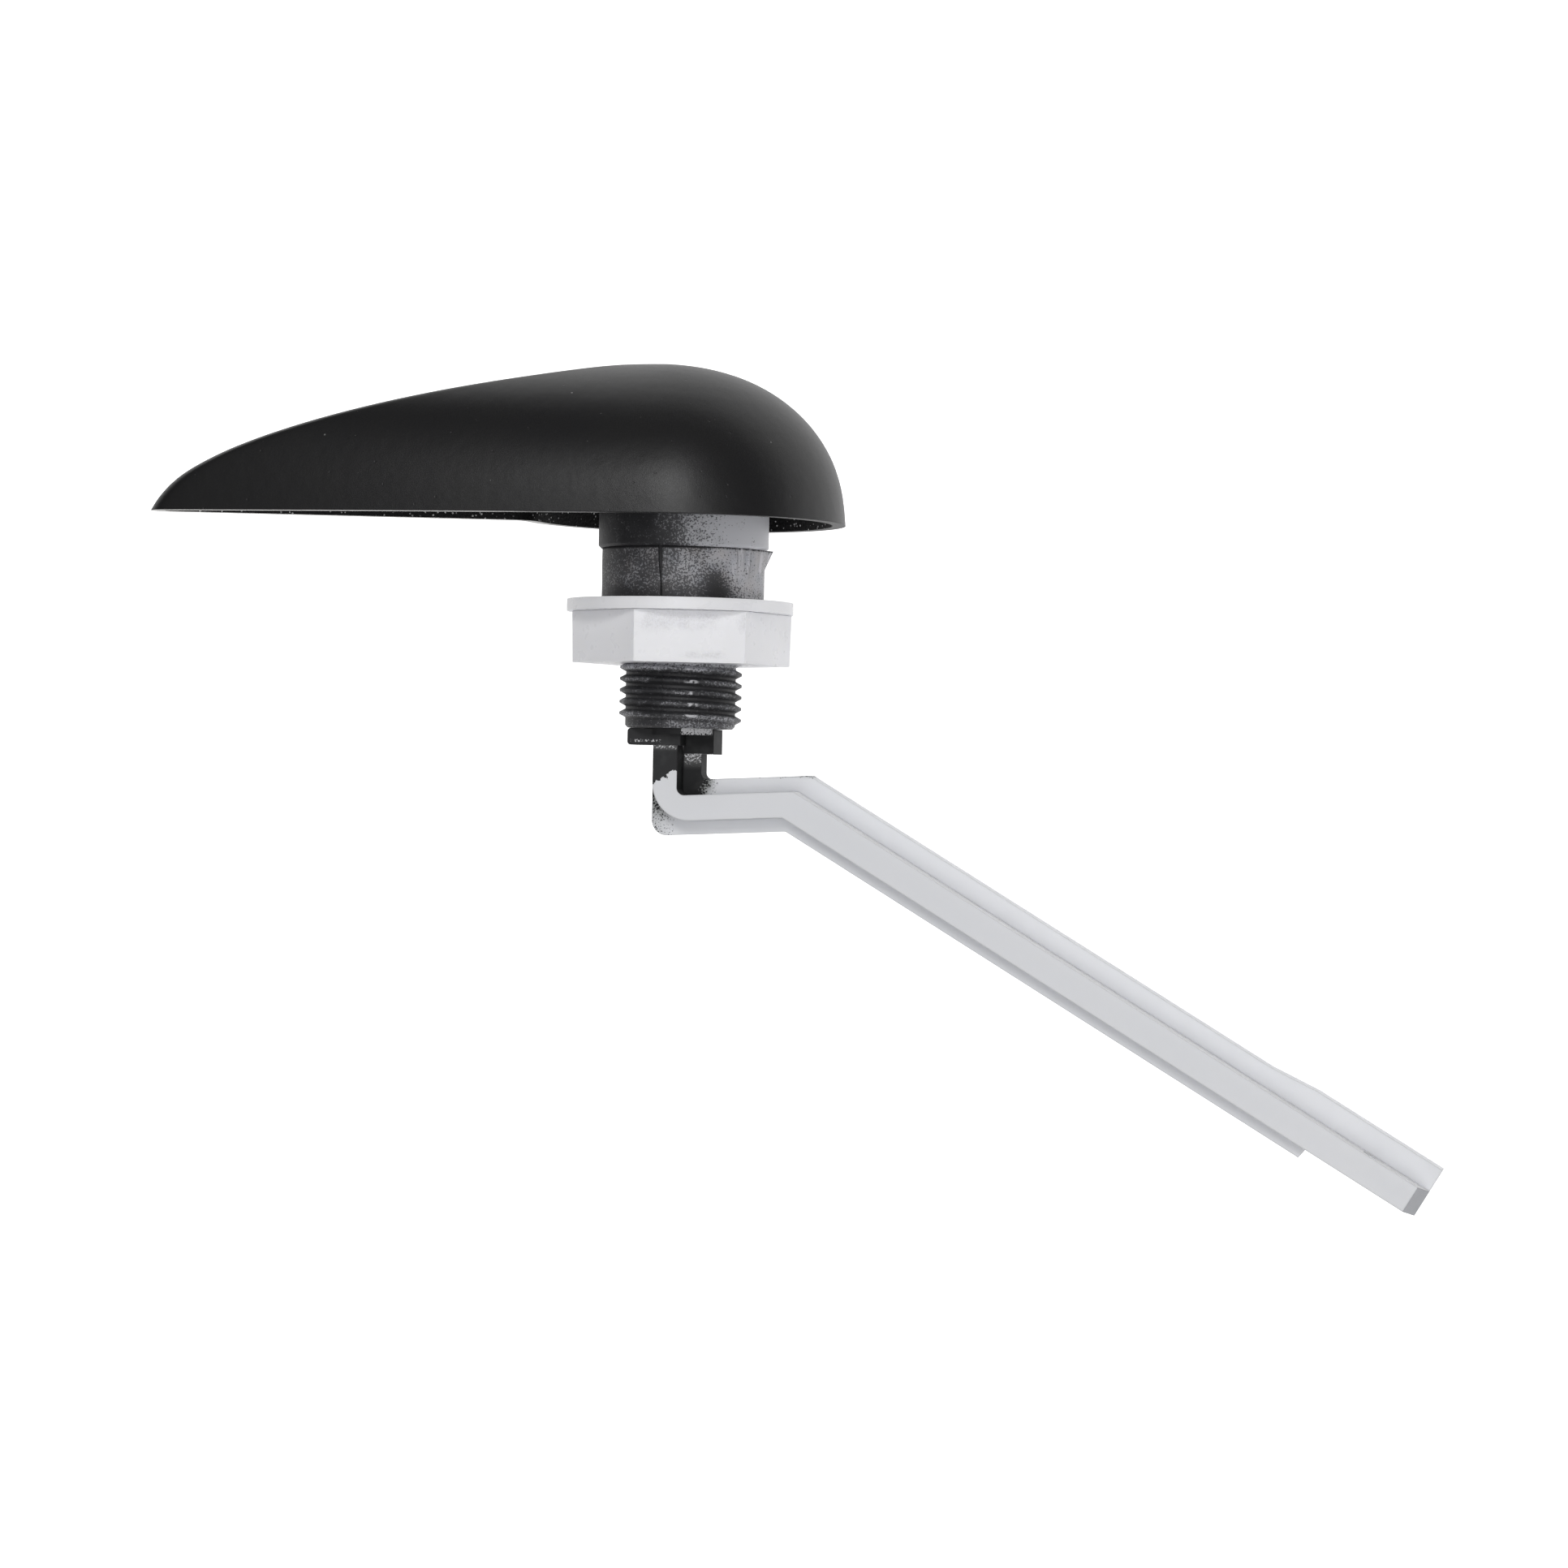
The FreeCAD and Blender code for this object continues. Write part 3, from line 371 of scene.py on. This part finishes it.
def wrap_spray_and_shade(s):
    """Thinner towards -X, with a smudge low on that side, darker towards the bottom end, and
    painted shade along the top end under the hub's edge.
    """
    across = s.step(s.calc("ABSOLUTE", s.less(s.x, SMUDGE_X)), 0.0, SMUDGE_REACH, 1.0, 0.0)
    smudge = s.times(s.step(s.y, -5.6, -1.4), across, 0.47)
    return s.add(
        s.step(s.x, -9.5, 0.5, 0.18, 0.6),
        s.step(s.x, 0.5, 8.5, 0.0, 0.12),
        s.step(s.noise(0.3, 2.0), 0.3, 0.7, -0.07, 0.07),
        smudge,
        # Darker towards the bottom end.
        s.step(s.y, -2.2, -0.2, 0.0, 0.16),
        # Painted shade: a dark band along the top end, under the hub's edge.
        s.step(s.y, -6.62, -6.3, 0.4, 0.0),
    )


def wrap_film():
    """Thin grey film, peppered with black, with creases by its loose end that carry painted
    highlights.
    """
    s = Shader("wrap_film")
    color, paint = peppered(s, wrap_spray_and_shade(s), BARE_FILM, 4.2)
    tinted = s.node("ShaderNodeMix", data_type="RGBA", blend_type="MULTIPLY")
    tinted.inputs["Factor"].default_value = 1.0
    s.put(tinted.inputs["A"], color)
    s.put(tinted.inputs["B"], s.mix(s.noise(0.45, 1.0, shift=9.0), *FILM_TINTS))
    creased = s.times(s.step(s.x, -8.8, -8.0, 1.0, 0.0), s.step(s.y, -4.2, -2.2, 1.0, 0.0))
    creases = s.times(s.noise(1.3, 2.0, stretch=(1, 0.1, 1)), creased)
    # Painted highlight: pale streaks on the creases, where their folds catch the light.
    pale = s.times(s.step(creases, 0.5, 0.58), 0.6)
    s.set(
        color=s.mix(pale, tinted.outputs["Result"], CREASE_HIGHLIGHT_WHITE),
        rough=s.blend(paint, 0.42, 0.55),
        specular=0.4,
    )
    s.bump((s.noise(0.8, 2.0), 0.05), (paint, 0.015), (creases, 0.5), edge=0.05)
    return s.material


# ---------------------------------------------------------------- nut and washer

NYLON_TINTS = ((0.91, 0.92, 0.965), (0.95, 0.945, 0.975))
FROST_GREY = (0.66, 0.65, 0.67)
# Along Y: the frosted patch by the washer, and the one by the nut's far face.
FROST_NEAR = (1.9, 4.2, 0.8)
FROST_FAR = (7.0, 7.7, 0.3)


def nylon():
    """Natural nylon: milky, with a frosted mould texture on the nut's upper flat."""
    s = Shader("nylon")
    frost = s.noise(3.2, 3.0, 0.7)
    near = s.times(s.band(s.y, *FROST_NEAR), s.step(s.noise(0.22, 2.0, shift=4.0), 0.38, 0.6))
    far = s.times(s.band(s.y, *FROST_FAR), s.band(s.x, -8.0, -3.0, 1.0))
    frosted = s.times(s.add(near, far), s.step(s.normal_z, 0.8, 0.95))
    pale = s.times(frosted, s.step(frost, 0.45, 0.6), 0.3)
    s.set(
        color=s.mix(pale, s.mix(s.noise(0.12, 2.0), *NYLON_TINTS), FROST_GREY),
        rough=s.step(s.noise(0.6, 2.0), 0.3, 0.7, 0.26, 0.4),
        specular=0.5,
        scatter=0.3,
        scatter_scale=0.001,
        scatter_radius=(1.0, 1.0, 1.1),
    )
    s.bump((s.noise(0.2, 1.0), 0.05), (s.times(frost, frosted), 0.16))
    return s.material


# ---------------------------------------------------------------- lever arm

ARM_TINTS = ((0.79, 0.805, 0.835), (0.83, 0.835, 0.86))
ARM_BLACK, ARM_DUST = (0.006, 0.006, 0.007), (0.045, 0.046, 0.046)
ARM_SCUFF, ARM_FLECK = (0.13, 0.13, 0.13), (0.72, 0.72, 0.74)
ARM_HAZE = (0.16, 0.17, 0.16)
END_SHADE_GREY = (0.16, 0.17, 0.2)
WALL_LIGHT_WHITE = (0.98, 0.98, 0.99)
ARM_SPECK = (0.4, 0.4, 0.4)

RIB_TOP, PLATE_TOP = 3.3, -0.3
RIB_SIDE = -0.5
# The long limb's own directions in the XY plane: along it to the end, and to its upper side.
ALONG_LIMB, ACROSS_LIMB = (-0.861, 0.509), (-0.509, -0.861)
# On the rib the spray stops at a slanted line: its Y at the rib's side, and its slope.
SPRAY_END, SPRAY_END_SLOPE = 22.25, 0.51


def arm_spray(s, rib_top):
    """How much black lies on the arm: all of its upright, ending on a ragged line down the rib."""
    ragged = s.step(s.noise(1.6, 3.0, 0.6), 0.25, 0.75, -0.55, 0.55)
    line = s.add(SPRAY_END, s.times(s.less(s.x, RIB_SIDE), SPRAY_END_SLOPE), ragged)
    on_rib = s.step(s.less(s.y, line), -0.08, 0.08, 1.0, 0.0)
    limb = s.most(s.step(s.x, -5.6, -2.6), s.step(s.y, 21.6, 23.2, 1.0, 0.0))
    upright = s.times(s.step(s.y, 23.2, 26.2, 1.0, 0.0), limb)
    beside_rib = s.times(s.step(s.x, -4.8, -2.0), s.step(s.y, 25.2, 26.2, 1.0, 0.0))
    heel = s.times(s.step(s.x, -0.6, 3.0), s.step(s.y, 26.0, 29.8, 0.5, 0.2))
    return s.blend(rib_top, s.most(upright, beside_rib, heel), on_rib)


def arm_black(s):
    """The sprayed part's colour: black, dusty and flecked with white where other parts rub."""
    top = s.step(s.normal_z, 0.5, 0.8)
    lug_edge = s.times(
        s.band(s.y, 18.2, 18.6, 0.12),
        s.band(s.x, 1.6, 5.8, 0.4),
        s.step(s.z, 3.2, 3.4),
    )
    journal = s.times(
        s.step(s.y, 16.9, 18.3, 1.0, 0.0),
        s.band(s.x, -4.5, -1.2, 0.15),
        s.step(s.z, 0.2, 0.4),
    )
    on_plate = s.times(
        s.step(s.y, 20.0, 22.2, 0.62, 0.0),
        s.step(s.y, 19.9, 20.0),
        s.step(s.x, RIB_SIDE - 0.2, RIB_SIDE, 1.0, 0.0),
    )
    on_rib = s.times(
        s.step(s.y, 19.0, 19.8, 0.5, 0.0),
        s.step(s.y, 18.9, 18.95),
        s.step(s.x, RIB_SIDE - 0.2, RIB_SIDE),
    )
    rubbed = s.most(s.times(lug_edge, 0.5), on_plate, on_rib)
    scuffed = s.most(s.times(rubbed, top), s.times(journal, 0.95))
    flecks = s.spray(s.times(scuffed, 0.8), 4.5, 6.0)
    dusty = s.times(s.step(s.noise(0.5, 3.0), 0.45, 0.75), 0.35)
    black = s.mix(s.most(dusty, s.times(on_plate, top, 2.2)), ARM_BLACK, ARM_DUST)
    black = s.mix(s.times(s.most(on_plate, on_rib), top, 1.3), black, ARM_SCUFF)
    return s.mix(s.times(flecks, s.step(scuffed, 0.0, 0.6, 0.0, 0.9)), black, ARM_FLECK)


def facing(s, direction):
    """How squarely a face looks in a direction of the XY plane."""
    return s.add(s.times(s.normal_x, direction[0]), s.times(s.normal_y, direction[1]))


def arm_white(s, haze):
    """The bare part's colour: hazed by the spray, with painted shade on the rib's end slope and
    painted light on the rib's wall.
    """
    white = s.mix(s.noise(0.05, 2.0), *ARM_TINTS)
    white = s.mix(s.times(s.step(haze, 0.02, 0.6), 0.85), white, ARM_HAZE)
    # Painted shade: the rib's end slope by the tip is greyed as if it lay in shade.
    by_end = s.step(s.x, -90.0, -85.0, 1.0, 0.0)
    painted_end_shade = s.times(by_end, s.band(facing(s, ALONG_LIMB), 0.86, 0.96, 0.03), 0.55)
    white = s.mix(painted_end_shade, white, END_SHADE_GREY)
    # Painted light: the rib's upper wall is whitened to make up for the little light that reaches
    # it.
    painted_wall_light = s.times(s.step(facing(s, ACROSS_LIMB), 0.6, 0.9), s.step(s.z, PLATE_TOP, 0.0))
    white = s.mix(painted_wall_light, white, WALL_LIGHT_WHITE)
    return s.mix(s.times(s.specks(0.18, 0.2, 0.035, 1.0), 0.5), white, ARM_SPECK)


def arm_plastic():
    """White moulding, satin, with black overspray round the spindle end."""
    s = Shader("arm_plastic")
    rib_top = s.times(s.step(s.z, RIB_TOP - 0.1, RIB_TOP - 0.01), s.step(s.normal_z, 0.4, 0.6))
    density = arm_spray(s, rib_top)
    droplets = s.most(s.spray(density, 5.0), s.step(density, 0.8, 1.0))
    paint = s.blend(rib_top, droplets, density)
    white = arm_white(s, s.times(density, s.invert(rib_top)))
    satin = s.step(s.noise(0.7, 2.0), 0.3, 0.7, 0.36, 0.46)
    s.set(
        color=s.mix(s.times(paint, 0.97), white, arm_black(s)),
        rough=s.blend(paint, satin, 0.62),
        specular=s.blend(paint, 0.4, 0.2),
        scatter=s.blend(paint, 0.3, 0.0),
        scatter_scale=0.0015,
        scatter_radius=(1.0, 1.0, 1.05),
    )
    s.bump((s.noise(0.12, 2.0), 0.08), (s.noise(2.2, 2.0), 0.008), (paint, 0.025), edge=0.3)
    return s.material


# ---------------------------------------------------------------- hidden pieces

THRUST_TINTS = ((0.62, 0.62, 0.61), (0.72, 0.72, 0.71))


def steel(name, base, rough, along):
    """Drawn or turned steel with fine marks; along stretches them."""
    s = Shader(name)
    marks = s.noise(3.0, 4.0, 0.6, along)
    s.set(
        color=s.mix(marks, grey(base * 0.75), grey(base)),
        metal=1.0,
        rough=s.step(marks, 0.3, 0.7, rough, rough + 0.15),
    )
    s.bump((marks, 0.006))
    return s.material


def thrust_plastic():
    """Off-white washer, burnished where it rubs."""
    s = Shader("thrust_plastic")
    rings = s.noise(1.5, 3.0)
    s.set(
        color=s.mix(rings, *THRUST_TINTS),
        rough=s.step(rings, 0.3, 0.7, 0.3, 0.5),
        specular=0.45,
    )
    s.bump((rings, 0.01))
    return s.material


# ---------------------------------------------------------------- CAD nodes


def dress(node, material):
    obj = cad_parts[node]
    for place in obj.material_slots:
        place.material = material
    if not obj.material_slots:
        obj.data.materials.append(material)


nylon_look = nylon()
dress("handle_shell", handle_paint())
dress("mounting_bushing", bushing_plastic())
dress("nut_washer", nylon_look)
dress("lock_nut", nylon_look)
dress("lever_arm", arm_plastic())
dress("thrust_washer", thrust_plastic())
dress("handle_set_screw", steel("screw_steel", 0.4, 0.3, (1, 1, 6)))


# ---------------------------------------------------------------- return spring


def make_spring(material):
    """A steel copy of the CAD spring, put in its place. On the real lever its back leg stays in
    the hub and its front leg turns with the handle.
    """
    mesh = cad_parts["return_spring"].data.copy()
    mesh.materials.clear()
    mesh.materials.append(material)
    piece = bpy.data.objects.new("return_spring_wire", mesh)
    bpy.context.scene.collection.objects.link(piece)
    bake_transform(piece)
    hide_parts("return_spring")


make_spring(steel("spring_steel", 0.45, 0.25, (0.3, 0.3, 0.3)))


# ---------------------------------------------------------------- wrap round the spigot

WRAP_INNER = 10.2
WRAP_OUTER = 10.62
WRAP_TOP, WRAP_BOTTOM = -6.66, -0.04
SEAM_AZIMUTH, SEAM_LEAN = -3.0, 1.3
SEAM_GAP = 3.3
SEAM_CLOSED = 0.25
WRAP_ROWS, WRAP_COLUMNS = 20, 360
# Azimuth, width in degrees and depth of each pleat.
PLEATS = (
    (52.0, 0.9, 0.3),
    (55.5, 1.0, -0.2),
    (59.5, 0.8, 0.2),
    (64.4, 0.9, 0.32),
    (68.0, 0.9, -0.22),
    (72.0, 0.8, 0.15),
)
# The loose end: the azimuths where it starts and where it leaves the sleeve, its length, and how
# far down from the top it is lifted.
FLAP_START, FLAP_LEAVE = 50.0, 68.0
FLAP_LENGTH = 8.5
FLAP_LIFTED = 2.5
FLAP_THICKNESS = 0.1
FLAP_ROWS, FLAP_COLUMNS = 24, 60


def polar(radius, azimuth, y):
    turn = math.radians(azimuth)
    return Vector((-radius * math.sin(turn), y, radius * math.cos(turn))) * MM


def smooth(value, low, high):
    share = min(max((value - low) / (high - low), 0.0), 1.0)
    return share * share * (3 - 2 * share)


def evenly(start, end, count):
    """Numbers from start to end, with count equal steps between them."""
    return [start + (end - start) * i / count for i in range(count + 1)]


def wrap_radius(azimuth, y):
    """The film's outer radius: a little slack, with pleats that die out towards the bottom."""
    slack = 0.03 * math.sin(math.radians(3 * azimuth)) * math.sin(y * 0.9)
    from_seam = azimuth - seam_azimuth(y)
    near_seam = min(abs(from_seam), abs(from_seam - 360))
    curl = 0.1 * (1 - smooth(near_seam, 1.3, 4.5)) * (1 - smooth(y, -3.6, -2.0))
    return WRAP_OUTER + slack + pleat(azimuth, y) + curl


def pleat(azimuth, y):
    """How far an upright pleat stands out or in."""
    share = 1 - smooth(y, -5.0, -1.5)
    waves = (depth * math.exp(-(((azimuth - at) / width) ** 2)) for at, width, depth in PLEATS)
    return share * sum(waves)


def seam_azimuth(y):
    return SEAM_AZIMUTH + SEAM_LEAN * (y - WRAP_TOP) / (WRAP_BOTTOM - WRAP_TOP)


def seam_half_width(y):
    """The seam gapes at the top and pinches shut towards the bottom."""
    open_share = 1 - smooth(y, -5.6, -1.6)
    return SEAM_GAP / 2 * (SEAM_CLOSED + (1 - SEAM_CLOSED) * open_share)


def mesh_piece(name, vertices, faces, material, body):
    mesh = bpy.data.meshes.new(name)
    mesh.from_pydata(vertices, [], faces)
    mesh.validate()
    mesh.update()
    for polygon in mesh.polygons:
        polygon.use_smooth = True
    obj = bpy.data.objects.new(name, mesh)
    bpy.context.scene.collection.objects.link(obj)
    mesh.materials.append(material)
    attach(obj, body)
    return obj


def box_sheet(outer, inner):
    """A closed shell between two grids of the same size."""
    rows, columns = len(outer), len(outer[0])
    vertices = [p for row in outer for p in row] + [p for row in inner for p in row]
    step = rows * columns
    faces = []
    for i in range(rows - 1):
        for j in range(columns - 1):
            a = i * columns + j
            faces.append((a, a + columns, a + columns + 1, a + 1))
            b = step + a
            faces.append((b, b + 1, b + columns + 1, b + columns))
    rim = list(range(columns))
    rim += [i * columns + columns - 1 for i in range(1, rows)]
    rim += [(rows - 1) * columns + j for j in range(columns - 2, -1, -1)]
    rim += [i * columns for i in range(rows - 2, 0, -1)]
    for a, b in zip(rim, rim[1:] + rim[:1]):
        faces.append((a, b, step + b, step + a))
    return vertices, faces


def flap_point(run, y, radius):
    """A point of the loose end, which springs straight off at the top and hugs further down."""
    hugging_azimuth = FLAP_START + math.degrees(run / radius)
    hugging = polar(radius + pleat(hugging_azimuth, y), hugging_azimuth, y)
    before = math.radians(FLAP_LEAVE - FLAP_START) * radius
    if run <= before:
        return hugging
    ahead = (polar(1.0, FLAP_LEAVE + 90, 0)).normalized()
    straight = polar(radius, FLAP_LEAVE, y) + ahead * ((run - before) * MM)
    return straight.lerp(hugging, min((y - WRAP_TOP) / FLAP_LIFTED, 1.0))


def make_flap():
    """Grids for the outside and the inside of the loose end."""
    runs = evenly(0.0, FLAP_LENGTH, FLAP_COLUMNS)
    radii = [WRAP_OUTER + 0.02 + FLAP_THICKNESS * smooth(run, 0.0, 0.6) for run in runs]
    outer, inner = [], []
    for y in evenly(WRAP_TOP, WRAP_BOTTOM, FLAP_ROWS):
        outer.append([flap_point(run, y, radius) for run, radius in zip(runs, radii)])
        inner.append([flap_point(run, y, WRAP_OUTER - 0.03) for run in runs])
    return outer, inner


def make_wrap(material):
    outer, inner = [], []
    for y in evenly(WRAP_TOP, WRAP_BOTTOM, WRAP_ROWS):
        half = seam_half_width(y)
        turns = evenly(seam_azimuth(y) + half, seam_azimuth(y) - half + 360, WRAP_COLUMNS)
        outer.append([polar(wrap_radius(t, y), t, y) for t in turns])
        inner.append([polar(WRAP_INNER, t, y) for t in turns])
    vertices, faces = box_sheet(outer, inner)
    flap_vertices, flap_faces = box_sheet(*make_flap())
    faces += [tuple(i + len(vertices) for i in face) for face in flap_faces]
    vertices += flap_vertices
    piece = mesh_piece("spigot_wrap_film", vertices, faces, material, "bushing")
    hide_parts("spigot_wrap")


make_wrap(wrap_film())


# ---------------------------------------------------------------- floor, light and camera


# How brightly the floor and the sky light the object; the camera sees both as white.
FLOOR_LIGHT = 0.5
SKY_LIGHT = 0.08
FLOOR_HALF = 3.0
FLOOR_DROP = 0.03


def make_floor():
    s = Shader("floor")
    s.set(color=s.mix(s.noise(0.01, 2.0), grey(0.9), grey(0.94)), rough=0.9, specular=0.1)
    s.surface.inputs["Emission Color"].default_value = (1, 1, 1, 1)
    glow = s.blend(s.node("ShaderNodeLightPath").outputs["Is Camera Ray"], FLOOR_LIGHT, 1.0)
    s.put(s.surface.inputs["Emission Strength"], glow)
    s.hide_back()
    height = cad_box[0].z - FLOOR_DROP
    around = ((-1, -1), (1, -1), (1, 1), (-1, 1))
    corners = [(x * FLOOR_HALF, y * FLOOR_HALF, height) for x, y in around]
    mesh = bpy.data.meshes.new("floor")
    mesh.from_pydata(corners, [], [(0, 1, 2, 3)])
    mesh.materials.append(s.material)
    obj = bpy.data.objects.new("floor", mesh)
    bpy.context.scene.collection.objects.link(obj)


def make_world():
    """White to the camera, dimmer as a light."""
    world = bpy.data.worlds.new("world")
    bpy.context.scene.world = world
    world.use_nodes = True
    tree = world.node_tree
    back = tree.nodes["Background"]
    back.inputs["Color"].default_value = (1, 1, 1, 1)
    rays = tree.nodes.new("ShaderNodeLightPath")
    strength = tree.nodes.new("ShaderNodeMix")
    strength.data_type = "FLOAT"
    tree.links.new(rays.outputs["Is Camera Ray"], strength.inputs["Factor"])
    strength.inputs["A"].default_value = SKY_LIGHT
    strength.inputs["B"].default_value = 1.0
    tree.links.new(strength.outputs["Result"], back.inputs["Strength"])


def soft_light(name, direction, distance, width, power):
    """A square panel that faces the object's middle."""
    middle = (cad_box[0] + cad_box[1]) / 2
    data = bpy.data.lights.new(name, "AREA")
    data.energy = power
    data.size = width
    obj = bpy.data.objects.new(name, data)
    bpy.context.scene.collection.objects.link(obj)
    towards = Vector(direction).normalized()
    obj.location = middle + towards * distance
    obj.rotation_euler = towards.to_track_quat("Z", "Y").to_euler()


CAMERA_TARGET = Vector((-13.495, 23.674, -2.868)) * MM
CAMERA_DISTANCE = 0.56
CAMERA_SIDE = math.radians(12.0)
CAMERA_ROLL = math.radians(1.2)
CAMERA_LENS = 98.09


def make_camera():
    """Looks down on the lever from a little to its -X side, with the handle at the top."""
    back = Vector((-math.sin(CAMERA_SIDE), 0, math.cos(CAMERA_SIDE)))
    right = Vector((-math.cos(CAMERA_SIDE), 0, -math.sin(CAMERA_SIDE)))
    up = Vector((0, -1, 0))
    rolled_right = right * math.cos(CAMERA_ROLL) + up * math.sin(CAMERA_ROLL)
    rolled_up = up * math.cos(CAMERA_ROLL) - right * math.sin(CAMERA_ROLL)
    data = bpy.data.cameras.new("camera")
    data.lens = CAMERA_LENS
    data.clip_start, data.clip_end = 0.01, 20
    obj = bpy.data.objects.new("camera", data)
    bpy.context.scene.collection.objects.link(obj)
    turn = Matrix((rolled_right, rolled_up, back)).transposed().to_4x4()
    obj.matrix_world = Matrix.Translation(CAMERA_TARGET + back * CAMERA_DISTANCE) @ turn
    bpy.context.scene.camera = obj


make_floor()
make_world()
soft_light("key", (-0.03, -0.42, 0.9), 0.7, 0.18, 1.5)
soft_light("fill", (-0.25, 0.25, 1.0), 0.8, 0.7, 3.25)
make_camera()
bpy.context.scene.view_settings.view_transform = "Standard"
